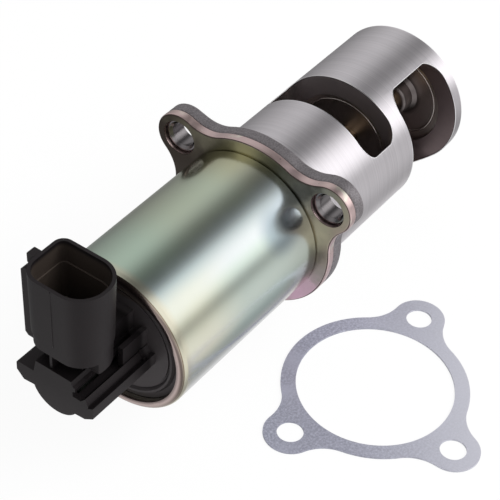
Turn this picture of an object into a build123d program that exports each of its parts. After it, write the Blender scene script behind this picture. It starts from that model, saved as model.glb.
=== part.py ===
# Solenoid exhaust gas recirculation valve: a turned gas housing with two
# milled windows and a double poppet train, a magnet can, and a moulded end
# cap with the position sensor and its plug socket.
# Frame: +X is the valve axis towards the gas end, +Z is the way the plug
# leaves, and the origin is the centre of the flange's mounting face.
# All lengths are in millimetres and all angles in degrees.
import os
from math import radians, sin, sqrt, tan

from build123d import *

os.makedirs("parts", exist_ok=True)

# Clearances
running_clearance = 0.04
loose_clearance = 0.3
slot_clearance = 0.15
seat_gap = 0.2

# Mounting flange
bolt_angles = (33.0, 144.0, 299.0)
bolt_circle_radius = 29.0
bolt_hole_radius = 3.55
lobe_radius = 7.2
lobe_root_radius = 11.0
flange_ring_radius = 25.4
plate_waist_radius = 13.0
cast_waist_radius = 15.0
cast_flange_thickness = 3.6
cast_edge_radius = 0.7
plate_thickness = 2.7
plate_edge_radius = 0.55
plate_hole_clearance = 0.5
bush_wall = 1.05
bush_recess = 1.2
bush_chamfer = 0.7

# Gas housing
nose_radius = 21.0
nose_edge_chamfer = 0.35
gas_bore_radius = 15.0
gas_bore_start = 14.0
first_window_start = 22.25
first_window_length = 14.5
first_window_width = 36.0
first_window_floor = 2.0
first_window_corner = 4.0
mid_web = 4.65
second_window_length = 22.8
second_window_width = 37.2
second_window_floor = 0.0
second_window_corner = 4.3
end_wall = 3.3

# Seat rings and poppet discs
seat_chamfer = 1.0
inner_seat_wall = 1.7
inner_seat_length = 3.8
outer_seat_wall = 2.3
outer_seat_length = 1.9
disc_rim = 1.4
inner_hub_radius = 5.0
inner_hub_length = 5.2
inner_dish_rise = 0.6
inner_dish_foot = 0.4
inner_hub_round = 1.5
outer_hub_radius = 5.3
outer_hub_length = 5.0
outer_hub_flare = 1.0
outer_hub_round = 1.2

# Stem, its guide and its seal
stem_radius = 3.0
stem_tail_radius = 2.2
stem_tail_length = 0.8
rivet_head_radius = 3.4
rivet_head_length = 1.1
guide_wall = 2.46
guide_chamfer = 0.4
seal_length = 2.6
seal_radius = 7.5
seal_lip_gap = 0.05
seal_lip_rise = 1.2

# Magnet can
can_radius = 21.75
can_wall = 1.5
can_length = 56.6
can_corner_radius = 0.8
rim_overhang = 2.45
rim_height = 2.3
rim_lean = 0.5
rim_edge_radius = 1.8

# Pole core and armature
pole_radius = 10.45
pole_length = 22.2
pole_shoulder_radius = 14.0
pole_shoulder = 3.0
pole_spigot_radius = 9.0
pole_cup_radius = 8.4
pole_cup_depth = 4.0
spring_pocket_radius = 6.2
spring_pocket_depth = 12.5
armature_rear_gap = 1.8
armature_nose_length = 3.0
armature_gap = 6.0
armature_vents = 4
armature_vent_radius = 1.2
armature_vent_circle = 6.6
clip_thickness = 0.8
clip_radius = 3.6
clip_groove_depth = 0.5

# Coil, guide sleeve and flux plate
sleeve_wall = 0.5
sleeve_overlap = 10.0
sleeve_tail = 1.0
bobbin_wall = 1.3
bobbin_flange = 1.5
bobbin_flange_gap = 0.55
winding_inset = 0.8
flux_plate_thickness = 3.0
terminal_width = 2.0
terminal_thickness = 0.8
terminal_seat = 2.0
terminal_y = 4.0
terminal_inset = 3.05

# Return spring
return_wire = 1.3
return_turns = 5
wire_sides = 6

# End cap
cap_shoulder_depth = 2.9
cap_face_depth = 2.5
cap_disc_thickness = 2.9
cap_skirt_wall = 2.7
cap_skirt_length = 2.7
seal_groove_width = 1.8
seal_groove_depth = 1.5
seal_section_radius = 0.73
bead_inset = 2.5
bead_foot = 1.8
bead_crest = 0.6
bead_height = 0.9
platform_inset = 3.7
platform_height = 0.5

# Sensor housing on the end cap, whose section is given in Y and Z
housing_length = 24.1
sensor_bore_radius = 6.0
sensor_wall = 1.7
boss_radius = 7.4
boss_arc_start = -21.4
boss_arc_sweep = -122.6
boss_top = 6.1
boss_left = 6.1
boss_right = -5.0
lug_root = 10.2
lug_left = 12.4
lug_right = 6.9
lug_top = 2.1
lug_side = -0.8
lug_bottom = -3.0
lug_corner_radius = 0.6
wing_root = -9.0
wing_right = -11.6
wing_crest = -9.2
wing_top = 2.9
wing_ledge = 1.1
wing_bevel = 1.7
wing_bottom = -4.1
wing_notch_width = 1.5
wing_notch_depth = 0.8
wing_stop_length = 0.8
wing_stop_gap = 2.6
wing_stop_rise = 0.5
step_proud = 0.8
step_low = 3.0
step_high = 4.4
step_bevel = 0.4
channel_right = -7.9
channel_left = -5.4
channel_floor = 1.4
gusset_length = 9.2
gusset_thickness = 1.5
gusset_top = 8.1
gusset_y = -8.2

# Plug socket on the end cap
socket_reach = 17.4
socket_y = -0.6
socket_length_x = 16.2
socket_length_y = 20.6
socket_top = 34.3
socket_shelf = 28.0
socket_floor = 14.6
socket_bottom = 11.7
socket_taper = 1.2
socket_wall = 0.95
socket_shelf_step = 0.4
socket_end_flat = 0.4
socket_big_corner = 6.0
socket_small_corner = 3.0
socket_least_corner = 0.3
socket_band_height = 3.9
socket_band_step = 0.35
neck_offset = -2.2
neck_foot = 8.3
neck_left = 9.0
neck_right = -4.6
neck_root = 1.5
stand_off_reach = 4.0
stand_off_width = 0.8
stand_off_y = 1.6
latch_offset = 1.2
latch_proud = 2.9
latch_width = 9.2
latch_bottom = 9.0
latch_top = 31.0
latch_bevel = 0.9
nub_offset = -0.9
nub_proud = 3.1
nub_width = 2.4
nub_top = 33.6
nub_bevel = 0.45

# Plug pins
pin_thickness = 0.8
pin_width = 1.5
pin_point = 0.2
pin_top = 22.0
pin_bottom = 12.6
pin_pitch_x = 4.6
pin_pitch_y = 4.0

# Position sensor
plunger_radius = 1.8
plunger_tip = 0.9
plunger_gap = 0.3
plunger_head_radius = 3.3
plunger_head_length = 1.5
sensor_guide_length = 3.5
wiper_wall = 0.8
wiper_thickness = 1.2
wiper_width = 5.2
track_thickness = 0.8
track_width = 7.2
track_length = 17.5
track_slack = 0.1
sensor_wire = 0.5
sensor_spring_inset = 0.7
sensor_spring_length = 10.9
sensor_turns = 5

# Flange gasket, laid flat beside the flange
gasket_thickness = 0.6
gasket_bore_clearance = 0.35
gasket_x = -8.0
gasket_y = -45.0
gasket_turn = 224.6

# Places along the valve axis, from the gas end to the plug end
first_window_end = first_window_start + first_window_length
second_window_start = first_window_end + mid_web
second_window_end = second_window_start + second_window_length
nose_length = second_window_end + end_wall
web_middle = first_window_end + mid_web / 2
inner_disc_back = second_window_start - seat_chamfer + seat_gap
inner_disc_face = inner_disc_back + seat_chamfer + disc_rim
outer_disc_back = nose_length - seat_chamfer + seat_gap
outer_disc_face = outer_disc_back + seat_chamfer + disc_rim
outer_disc_shoulder = outer_disc_back - outer_hub_length
plate_rear = -cast_flange_thickness
guide_rear = plate_rear + seal_length
plate_front = plate_rear - plate_thickness
bush_front = plate_front + bush_recess
can_floor = plate_front - can_wall
rim_front = plate_front - can_length
bobbin_front = can_floor - pole_shoulder
pole_rear = can_floor - pole_length
cup_floor = pole_rear + pole_cup_depth
pocket_floor = cup_floor + spring_pocket_depth
armature_front = pole_rear - armature_gap
armature_nose = armature_front + armature_nose_length
cap_shoulder = rim_front + cap_shoulder_depth
cap_face = rim_front + cap_face_depth
cap_rear = cap_face + cap_disc_thickness
flux_rear = cap_rear + cap_skirt_length
armature_rear = flux_rear + armature_rear_gap
clip_rear = armature_rear - clip_thickness
stem_rear = clip_rear - stem_tail_length
bobbin_rear = flux_rear + flux_plate_thickness
seal_groove = (cap_shoulder + flux_rear) / 2
terminal_rear = cap_rear - terminal_seat
platform_face = cap_face - platform_height
guide_front = cap_rear - sensor_guide_length
housing_front = cap_face - housing_length
sensor_bore_front = housing_front + sensor_wall
plunger_front = stem_rear - plunger_gap
plunger_rear = sensor_bore_front + sensor_spring_length
wiper_rear = plunger_rear + plunger_head_length
socket_x = cap_face - socket_reach
neck_front = socket_x + neck_offset
latch_x = socket_x + latch_offset

# Radii and heights that follow from the sizes above
bush_radius = bolt_hole_radius + bush_wall
plate_hole_radius = bush_radius + plate_hole_clearance
inner_seat_radius = gas_bore_radius - inner_seat_wall
inner_disc_radius = inner_seat_radius + seat_chamfer
outer_seat_radius = gas_bore_radius - outer_seat_wall
outer_disc_radius = outer_seat_radius + seat_chamfer
stem_hole_radius = stem_radius + loose_clearance
guide_radius = stem_radius + running_clearance
guide_outer_radius = guide_radius + guide_wall
seal_lip_radius = stem_radius + seal_lip_gap
seal_root_radius = seal_lip_radius + seal_lip_rise
clip_groove_radius = stem_tail_radius - clip_groove_depth
armature_radius = pole_radius - running_clearance
armature_nose_radius = pole_cup_radius - loose_clearance
return_spring_radius = spring_pocket_radius - return_wire / 2 - loose_clearance
can_bore_radius = can_radius - can_wall
rim_inner_radius = can_radius - rim_overhang
sleeve_radius = pole_radius + sleeve_wall
bobbin_tube_radius = sleeve_radius + bobbin_wall
bobbin_flange_radius = can_bore_radius - bobbin_flange_gap
winding_radius = bobbin_flange_radius - winding_inset
cap_radius = can_bore_radius - running_clearance
cap_skirt_radius = can_bore_radius - cap_skirt_wall
cap_face_radius = rim_inner_radius - slot_clearance
bead_radius = rim_inner_radius - bead_inset
platform_radius = rim_inner_radius - platform_inset
sensor_spring_radius = plunger_head_radius - sensor_spring_inset
track_bottom = track_slack - sqrt(sensor_bore_radius**2 - (track_width / 2) ** 2)
track_top = track_bottom + track_thickness
wiper_reach = -track_top - loose_clearance
socket_flat_end = socket_y + socket_length_y / 2
gasket_bore_radius = nose_radius + gasket_bore_clearance
socket_draw = tan(radians(socket_taper))
floor_z = min(bolt_circle_radius * sin(radians(angle)) for angle in bolt_angles) - lobe_radius

terminal_z = cap_skirt_radius - terminal_inset
terminal_places = [(-terminal_y, terminal_z), (terminal_y, terminal_z)]
pin_places = [
    (socket_x + column * pin_pitch_x / 2, socket_y + row * pin_pitch_y)
    for column in (-1, 1)
    for row in (-1, 0, 1)
    if (column, row) != (-1, 1)
]


def across_axis(x):
    """Plane across the valve axis at x. Its own X runs along +Y and its own Y along +Z."""
    return Plane.YZ.offset(x)


def flange_outline(waist_radius, hole_radius, bore_radius=0.0, turn=0.0):
    """Ring with three lobes drawn out at the bolt angles, with its holes."""
    angles = [turn + angle for angle in bolt_angles]
    with BuildSketch() as outline:
        Circle(flange_ring_radius)
        for angle in angles:
            with BuildSketch(mode=Mode.PRIVATE) as lobe:
                Circle(waist_radius)
                with Locations((bolt_circle_radius, 0)):
                    Circle(lobe_radius)
                make_hull()
            add(lobe.sketch.rotate(Axis.Z, angle))
        roots = outline.vertices().filter_by(
            lambda corner: abs(Vector(corner).length - flange_ring_radius) < 0.01
        )
        fillet(roots, lobe_root_radius)
        for angle in angles:
            with PolarLocations(bolt_circle_radius, 1, angle):
                Circle(hole_radius, mode=Mode.SUBTRACT)
        if bore_radius:
            Circle(bore_radius, mode=Mode.SUBTRACT)
    return outline.sketch


def outer_edges(part):
    """Edges round the outside of the two flat faces across the valve axis."""
    rims = [face.outer_wire() for face in part.faces().filter_by(Axis.X)]
    return [edge for rim in rims for edge in rim.edges()]


def socket_inset(height):
    """How far the tapered socket wall has drawn in at a height, in Z."""
    return (socket_top - height) * socket_draw


def socket_outline(inset):
    """Plug outline: a round end towards -Y, and unlike corners towards +Y."""
    with BuildSketch() as outline:
        with Locations((socket_x, socket_y)):
            Rectangle(socket_length_x - 2 * inset, socket_length_y - 2 * inset)
        round_end = outline.vertices().group_by(Axis.Y)[0]
        fillet(round_end, socket_length_x / 2 - socket_end_flat - inset)
        big_corner = outline.vertices().group_by(Axis.Y)[-1].sort_by(Axis.X)[0]
        fillet(big_corner, socket_big_corner - inset)
        small_corner = outline.vertices().group_by(Axis.Y)[-1].sort_by(Axis.X)[-1]
        fillet(small_corner, max(socket_small_corner - inset, socket_least_corner))
    return outline.sketch


def latch_section(bottom, top, proud, bevel):
    """Section in Y and Z of a rib that stands proud of the socket's flat end."""
    wall_bottom = socket_flat_end - socket_inset(bottom)
    wall_top = socket_flat_end - socket_inset(top)
    root = socket_wall / 2
    with BuildSketch() as section:
        with BuildLine():
            Polyline(
                (wall_bottom - root, bottom),
                (wall_bottom + proud - bevel, bottom),
                (wall_bottom + proud, bottom + bevel),
                (wall_top + proud, top - bevel),
                (wall_top + proud - bevel, top),
                (wall_top - root, top),
                close=True,
            )
        make_face()
    return section.sketch


# Blank of the gas housing: cast flange and turned nose, with one window milled
# from above and one from the side, and the gas bore right through
with BuildPart() as housing_blank:
    with BuildSketch(across_axis(plate_rear)):
        add(flange_outline(cast_waist_radius, bush_radius))
    extrude(amount=cast_flange_thickness)
    fillet(outer_edges(housing_blank), cast_edge_radius)
    with BuildSketch(across_axis(0)):
        Circle(nose_radius)
    extrude(amount=nose_length)
    chamfer(housing_blank.faces().sort_by(Axis.X)[-1].edges(), nose_edge_chamfer)
    with BuildSketch(Plane.XY.offset(first_window_floor)):
        with Locations((first_window_start + first_window_length / 2, 0)):
            RectangleRounded(first_window_length, first_window_width, first_window_corner)
    extrude(amount=nose_radius, mode=Mode.SUBTRACT)
    with BuildSketch(Plane.XZ.offset(second_window_floor)):
        with Locations((second_window_start + second_window_length / 2, 0)):
            RectangleRounded(second_window_length, second_window_width, second_window_corner)
    extrude(amount=nose_radius, mode=Mode.SUBTRACT)
    with BuildSketch(Plane.XY):
        with BuildLine():
            Polyline(
                (plate_rear, 0),
                (plate_rear, seal_radius),
                (guide_rear, seal_radius),
                (guide_rear, guide_outer_radius),
                (gas_bore_start, guide_outer_radius),
                (gas_bore_start, gas_bore_radius),
                (nose_length, gas_bore_radius),
                (nose_length, 0),
                close=True,
            )
        make_face()
    revolve(axis=Axis.X, mode=Mode.SUBTRACT)

# Flange length of the housing, up to the middle of the web
with BuildPart() as valve_housing:
    add(housing_blank)
    split(bisect_by=across_axis(web_middle), keep=Keep.BOTTOM)
valve_housing.part.label = "valve_housing"
export_step(valve_housing.part, "parts/valve_housing.step")

# Nose end of the housing, with the second window and the end wall
with BuildPart() as nose_end:
    add(housing_blank)
    split(bisect_by=across_axis(web_middle), keep=Keep.TOP)
nose_end.part.label = "nose_end"
export_step(nose_end.part, "parts/nose_end.step")

# Seat ring pressed into the web between the windows
with BuildPart() as inner_seat_ring:
    with BuildSketch(across_axis(second_window_start)):
        Circle(gas_bore_radius)
        Circle(inner_seat_radius, mode=Mode.SUBTRACT)
    extrude(amount=-inner_seat_length)
    mouth = inner_seat_ring.edges().group_by(Axis.X)[-1].sort_by(SortBy.RADIUS)[0]
    chamfer(mouth, seat_chamfer)
inner_seat_ring.part.label = "inner_seat_ring"
export_step(inner_seat_ring.part, "parts/inner_seat_ring.step")

# Seat ring pressed into the end wall
with BuildPart() as outer_seat_ring:
    with BuildSketch(across_axis(nose_length)):
        Circle(gas_bore_radius)
        Circle(outer_seat_radius, mode=Mode.SUBTRACT)
    extrude(amount=-outer_seat_length)
    mouth = outer_seat_ring.edges().group_by(Axis.X)[-1].sort_by(SortBy.RADIUS)[0]
    chamfer(mouth, seat_chamfer)
outer_seat_ring.part.label = "outer_seat_ring"
export_step(outer_seat_ring.part, "parts/outer_seat_ring.step")

# Bush that guides the stem
with BuildPart() as stem_guide_bush:
    with BuildSketch(across_axis(guide_rear)):
        Circle(guide_outer_radius)
        Circle(guide_radius, mode=Mode.SUBTRACT)
    extrude(amount=gas_bore_start - guide_rear)
    mouths = stem_guide_bush.edges().filter_by(GeomType.CIRCLE).sort_by(SortBy.RADIUS)[:2]
    chamfer(mouths, guide_chamfer)
stem_guide_bush.part.label = "stem_guide_bush"
export_step(stem_guide_bush.part, "parts/stem_guide_bush.step")

# Lip seal between the guide bush and the pole core
with BuildPart() as stem_seal:
    with BuildSketch(Plane.XY):
        with BuildLine():
            Polyline(
                (plate_rear, seal_root_radius),
                (plate_rear + seal_length / 2, seal_lip_radius),
                (guide_rear, seal_root_radius),
                (guide_rear, seal_radius),
                (plate_rear, seal_radius),
                close=True,
            )
        make_face()
    revolve(axis=Axis.X)
stem_seal.part.label = "stem_seal"
export_step(stem_seal.part, "parts/stem_seal.step")

# Plate under the can, with holes that clear the bolt bushes
with BuildPart() as mounting_plate:
    with BuildSketch(across_axis(plate_front)):
        add(flange_outline(plate_waist_radius, plate_hole_radius, pole_spigot_radius))
    extrude(amount=plate_thickness)
    fillet(outer_edges(mounting_plate), plate_edge_radius)
mounting_plate.part.label = "mounting_plate"
export_step(mounting_plate.part, "parts/mounting_plate.step")

# Steel bushes that take the bolt load, pressed into the cast flange
with BuildPart() as bolt_bushes:
    for angle in bolt_angles:
        with BuildSketch(across_axis(bush_front)):
            with PolarLocations(bolt_circle_radius, 1, angle):
                Circle(bush_radius)
                Circle(bolt_hole_radius, mode=Mode.SUBTRACT)
        extrude(amount=-bush_front)
    front_edges = bolt_bushes.edges().group_by(Axis.X)[0].sort_by(SortBy.RADIUS)
    chamfer(front_edges[: len(bolt_angles)], bush_chamfer)
bolt_bushes.part.label = "bolt_bushes"
export_step(bolt_bushes.part, "parts/bolt_bushes.step")

# Drawn can, with its open end rolled in over the shoulder of the end cap
with BuildPart() as magnet_can:
    with BuildSketch(Plane.XY) as can_section:
        with BuildLine():
            Polyline(
                (plate_front, pole_spigot_radius),
                (plate_front, can_radius),
                (rim_front, can_radius),
                (rim_front + rim_lean, rim_inner_radius),
                (rim_front + rim_lean + rim_height, rim_inner_radius),
                (cap_shoulder, can_bore_radius),
                (can_floor, can_bore_radius),
                (can_floor, pole_spigot_radius),
                close=True,
            )
        make_face()
        fillet(can_section.vertices().sort_by(Axis.X)[0], rim_edge_radius)
        fillet(can_section.vertices().group_by(Axis.X)[-1].sort_by(Axis.Y)[-1], can_corner_radius)
    revolve(axis=Axis.X)
magnet_can.part.label = "magnet_can"
export_step(magnet_can.part, "parts/magnet_can.step")

# Pole core, whose spigot joins the can, the plate and the housing in line
with BuildPart() as pole_core:
    with BuildSketch(Plane.XY):
        with BuildLine():
            Polyline(
                (plate_rear, stem_hole_radius),
                (plate_rear, pole_spigot_radius),
                (can_floor, pole_spigot_radius),
                (can_floor, pole_shoulder_radius),
                (bobbin_front, pole_shoulder_radius),
                (bobbin_front, pole_radius),
                (pole_rear, pole_radius),
                (pole_rear, pole_cup_radius),
                (cup_floor, pole_cup_radius),
                (cup_floor, spring_pocket_radius),
                (pocket_floor, spring_pocket_radius),
                (pocket_floor, stem_hole_radius),
                close=True,
            )
        make_face()
    revolve(axis=Axis.X)
pole_core.part.label = "pole_core"
export_step(pole_core.part, "parts/pole_core.step")

# Thin sleeve in which the armature runs
with BuildPart() as armature_sleeve:
    with BuildSketch(across_axis(flux_rear - sleeve_tail)):
        Circle(sleeve_radius)
        Circle(pole_radius, mode=Mode.SUBTRACT)
    extrude(amount=pole_rear + sleeve_overlap - flux_rear + sleeve_tail)
armature_sleeve.part.label = "armature_sleeve"
export_step(armature_sleeve.part, "parts/armature_sleeve.step")

# Rear flux plate, slotted for the coil terminals
with BuildPart() as flux_plate:
    with BuildSketch(across_axis(flux_rear)):
        Circle(can_bore_radius)
        Circle(sleeve_radius, mode=Mode.SUBTRACT)
        with Locations(*terminal_places):
            Rectangle(
                terminal_width + 2 * slot_clearance,
                terminal_thickness + 2 * slot_clearance,
                mode=Mode.SUBTRACT,
            )
    extrude(amount=flux_plate_thickness)
flux_plate.part.label = "flux_plate"
export_step(flux_plate.part, "parts/flux_plate.step")

# Moulded bobbin
with BuildPart() as coil_bobbin:
    with BuildSketch(Plane.XY):
        with BuildLine():
            Polyline(
                (bobbin_rear, sleeve_radius),
                (bobbin_front, sleeve_radius),
                (bobbin_front, bobbin_flange_radius),
                (bobbin_front - bobbin_flange, bobbin_flange_radius),
                (bobbin_front - bobbin_flange, bobbin_tube_radius),
                (bobbin_rear + bobbin_flange, bobbin_tube_radius),
                (bobbin_rear + bobbin_flange, bobbin_flange_radius),
                (bobbin_rear, bobbin_flange_radius),
                close=True,
            )
        make_face()
    revolve(axis=Axis.X)
coil_bobbin.part.label = "coil_bobbin"
export_step(coil_bobbin.part, "parts/coil_bobbin.step")

# Copper winding between the bobbin's flanges
with BuildPart() as coil_winding:
    with BuildSketch(across_axis(bobbin_rear + bobbin_flange)):
        Circle(winding_radius)
        Circle(bobbin_tube_radius, mode=Mode.SUBTRACT)
    extrude(amount=bobbin_front - bobbin_rear - 2 * bobbin_flange)
coil_winding.part.label = "coil_winding"
export_step(coil_winding.part, "parts/coil_winding.step")

# Two blades that lead the coil's current through the flux plate into the cap
with BuildPart() as coil_terminals:
    with BuildSketch(across_axis(terminal_rear)):
        with Locations(*terminal_places):
            Rectangle(terminal_width, terminal_thickness)
    extrude(amount=bobbin_rear - terminal_rear)
coil_terminals.part.label = "coil_terminals"
export_step(coil_terminals.part, "parts/coil_terminals.step")

# Armature with axial vents
with BuildPart() as armature:
    with BuildSketch(Plane.XY):
        with BuildLine():
            Polyline(
                (armature_rear, stem_tail_radius),
                (armature_nose, stem_tail_radius),
                (armature_nose, armature_nose_radius),
                (armature_front, armature_nose_radius),
                (armature_front, armature_radius),
                (armature_rear, armature_radius),
                close=True,
            )
        make_face()
    revolve(axis=Axis.X)
    with BuildSketch(across_axis(armature_rear)):
        with PolarLocations(armature_vent_circle, armature_vents, 180 / armature_vents):
            Circle(armature_vent_radius)
    extrude(amount=armature_nose - armature_rear, mode=Mode.SUBTRACT)
armature.part.label = "armature"
export_step(armature.part, "parts/armature.step")

# Open clip in the groove of the stem's tail
with BuildPart() as armature_clip:
    with BuildSketch(across_axis(clip_rear)):
        Circle(clip_radius)
        Circle(clip_groove_radius, mode=Mode.SUBTRACT)
        with Locations((0, -clip_radius / 2)):
            Rectangle(2 * clip_groove_radius, clip_radius, mode=Mode.SUBTRACT)
    extrude(amount=clip_thickness)
armature_clip.part.label = "armature_clip"
export_step(armature_clip.part, "parts/armature_clip.step")

# Stem, from the clip groove to the riveted head on the outer disc
with BuildPart() as valve_stem:
    with BuildSketch(Plane.XY):
        with BuildLine():
            Polyline(
                (stem_rear, 0),
                (stem_rear, stem_tail_radius),
                (clip_rear, stem_tail_radius),
                (clip_rear, clip_groove_radius),
                (armature_rear, clip_groove_radius),
                (armature_rear, stem_tail_radius),
                (armature_nose, stem_tail_radius),
                (armature_nose, stem_radius),
                (outer_disc_shoulder, stem_radius),
                (outer_disc_shoulder, stem_tail_radius),
                (outer_disc_face, stem_tail_radius),
                (outer_disc_face, rivet_head_radius),
                (outer_disc_face + rivet_head_length / 2, rivet_head_radius),
                (outer_disc_face + rivet_head_length, stem_tail_radius),
                (outer_disc_face + rivet_head_length, 0),
                close=True,
            )
        make_face()
    revolve(axis=Axis.X)
valve_stem.part.label = "valve_stem"
export_step(valve_stem.part, "parts/valve_stem.step")

# Inner poppet disc, dished round its hub. Both discs open towards +X
with BuildPart() as inner_valve_disc:
    with BuildSketch(Plane.XY) as dish_section:
        with BuildLine():
            Polyline(
                (inner_disc_back, stem_radius),
                (inner_disc_back, inner_seat_radius),
                (inner_disc_back + seat_chamfer, inner_disc_radius),
                (inner_disc_face, inner_disc_radius),
                (inner_disc_face + inner_dish_rise, inner_hub_radius + inner_dish_foot),
                (inner_disc_back + inner_hub_length, inner_hub_radius),
                (inner_disc_back + inner_hub_length, stem_radius),
                close=True,
            )
        make_face()
        fillet(dish_section.vertices().group_by(Axis.X)[-1].sort_by(Axis.Y)[-1], inner_hub_round)
    revolve(axis=Axis.X)
inner_valve_disc.part.label = "inner_valve_disc"
export_step(inner_valve_disc.part, "parts/inner_valve_disc.step")

# Outer poppet disc, with its flared hub towards the inner one
with BuildPart() as outer_valve_disc:
    with BuildSketch(Plane.XY) as disc_section:
        with BuildLine():
            Polyline(
                (outer_disc_shoulder, stem_tail_radius),
                (outer_disc_shoulder, outer_hub_radius),
                (outer_disc_back - outer_hub_flare, outer_hub_radius),
                (outer_disc_back, outer_hub_radius + outer_hub_flare),
                (outer_disc_back, outer_seat_radius),
                (outer_disc_back + seat_chamfer, outer_disc_radius),
                (outer_disc_face, outer_disc_radius),
                (outer_disc_face, stem_tail_radius),
                close=True,
            )
        make_face()
        hub_corner = disc_section.vertices().group_by(Axis.X)[0].sort_by(Axis.Y)[-1]
        fillet(hub_corner, outer_hub_round)
    revolve(axis=Axis.X)
outer_valve_disc.part.label = "outer_valve_disc"
export_step(outer_valve_disc.part, "parts/outer_valve_disc.step")

# Spring that closes the valve, between the pole core and the armature
with BuildPart() as return_spring:
    with BuildLine() as return_coil:
        Helix(
            (pocket_floor - armature_nose - return_wire) / return_turns,
            pocket_floor - armature_nose - return_wire,
            return_spring_radius,
            center=(armature_nose + return_wire / 2, 0, 0),
            direction=(1, 0, 0),
        )
    with BuildSketch(Plane(origin=return_coil.line @ 0, z_dir=return_coil.line % 0)):
        RegularPolygon(return_wire / 2, wire_sides)
    sweep(path=return_coil.line)
return_spring.part.label = "return_spring"
export_step(return_spring.part, "parts/return_spring.step")

# End cap, moulded in one: disc and skirt, sensor housing, neck and plug socket
with BuildPart() as end_cap:
    # Disc, skirt, raised bead and platform
    with BuildSketch(Plane.XY):
        with BuildLine():
            Polyline(
                (platform_face, 0),
                (platform_face, platform_radius),
                (cap_face, platform_radius),
                (cap_face, cap_face_radius),
                (cap_shoulder, cap_face_radius),
                (cap_shoulder, cap_radius),
                (flux_rear, cap_radius),
                (flux_rear, cap_skirt_radius),
                (cap_rear, cap_skirt_radius),
                (cap_rear, 0),
                close=True,
            )
        make_face()
        with Locations((seal_groove, cap_radius)):
            Rectangle(seal_groove_width, 2 * seal_groove_depth, mode=Mode.SUBTRACT)
    revolve(axis=Axis.X)
    with BuildSketch(Plane.XY):
        with BuildLine():
            Polyline(
                (cap_face, bead_radius - bead_foot / 2),
                (cap_face - bead_height, bead_radius - bead_crest / 2),
                (cap_face - bead_height, bead_radius + bead_crest / 2),
                (cap_face, bead_radius + bead_foot / 2),
                close=True,
            )
        make_face()
    revolve(axis=Axis.X)
    # Sensor housing: one section drawn out along the axis
    with BuildSketch(across_axis(housing_front)) as housing_section:
        with BuildLine():
            boss = CenterArc((0, 0), boss_radius, boss_arc_start, boss_arc_sweep)
            Polyline(
                boss @ 1,
                (wing_root, wing_bottom),
                (wing_right, wing_bottom + wing_bevel),
                (wing_right, wing_ledge),
                (wing_right + wing_notch_width, wing_ledge - wing_notch_depth),
                (wing_right + wing_notch_width, wing_ledge),
                (wing_crest, wing_top),
                (channel_right, channel_floor),
                (channel_left, channel_floor),
                (channel_left, step_low),
                (channel_left - step_proud, step_low + step_bevel),
                (channel_left - step_proud, step_high),
                (channel_left, step_high + step_bevel),
                (boss_right, boss_top),
                (boss_left, boss_top),
                (lug_right, lug_top),
                (lug_left, lug_top),
                (lug_left, lug_side),
                (lug_root, lug_bottom),
                boss @ 0,
            )
        make_face()
        fillet(housing_section.vertices().group_by(Axis.X)[-1], lug_corner_radius)
    extrude(amount=housing_length)
    # Stop across the rear end of the wing's groove
    with BuildSketch(across_axis(platform_face - wing_stop_gap - wing_stop_length)):
        with BuildLine():
            Polyline(
                (wing_crest, channel_floor),
                (wing_crest, wing_top + wing_stop_rise),
                (wing_right + wing_notch_width, wing_ledge + wing_stop_rise),
                (wing_right + wing_notch_width / 2, wing_ledge + wing_stop_rise),
                (wing_right + wing_notch_width / 2, wing_ledge - wing_notch_depth),
                close=True,
            )
        make_face()
    extrude(amount=wing_stop_length)
    # Gusset wall between the disc and the socket
    with BuildSketch(across_axis(platform_face - gusset_length)):
        with Locations((gusset_y, (gusset_top + channel_floor) / 2)):
            Rectangle(gusset_thickness, gusset_top - channel_floor)
    extrude(amount=gusset_length)
    # Neck with its thin stand-off rib
    with BuildSketch(Plane.XY.offset(boss_top - neck_root)):
        with Locations(((neck_front + cap_face) / 2, (neck_left + neck_right) / 2)):
            Rectangle(cap_face - neck_front, neck_left - neck_right)
        with Locations((neck_front, stand_off_y)):
            Rectangle(2 * stand_off_reach, stand_off_width)
    extrude(amount=socket_bottom - boss_top + neck_root)
    # Rear half of the socket's foot, drawn down behind the stand-off
    with BuildSketch(Plane.XY.offset(neck_foot)):
        add(socket_outline(socket_inset(neck_foot) + socket_band_step))
        with Locations((neck_front - socket_length_x / 2, socket_y)):
            Rectangle(socket_length_x, socket_length_y, mode=Mode.SUBTRACT)
    extrude(amount=socket_bottom - neck_foot)
    # Tapered socket on a slightly smaller band
    with BuildSketch(Plane.XY.offset(socket_top)):
        add(socket_outline(0))
    extrude(amount=socket_bottom + socket_band_height - socket_top, taper=socket_taper)
    with BuildSketch(Plane.XY.offset(socket_bottom + socket_band_height)):
        add(socket_outline(socket_inset(socket_bottom + socket_band_height) + socket_band_step))
    extrude(amount=-socket_band_height, taper=socket_taper)
    # Latch rib with the nub above it
    with BuildSketch(across_axis(latch_x - latch_width / 2)):
        add(latch_section(latch_bottom, latch_top, latch_proud, latch_bevel))
    extrude(amount=latch_width)
    with BuildSketch(across_axis(latch_x + nub_offset - nub_width / 2)):
        add(latch_section(latch_top - latch_bevel, nub_top, nub_proud, nub_bevel))
    extrude(amount=nub_width)
    # Socket cavity in two steps, so that a shelf runs round inside
    with BuildSketch(Plane.XY.offset(socket_top)):
        add(socket_outline(socket_wall))
    extrude(amount=socket_shelf - socket_top, taper=socket_taper, mode=Mode.SUBTRACT)
    with BuildSketch(Plane.XY.offset(socket_shelf)):
        add(socket_outline(socket_inset(socket_shelf) + socket_wall + socket_shelf_step))
    extrude(amount=socket_floor - socket_shelf, taper=socket_taper, mode=Mode.SUBTRACT)
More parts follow.
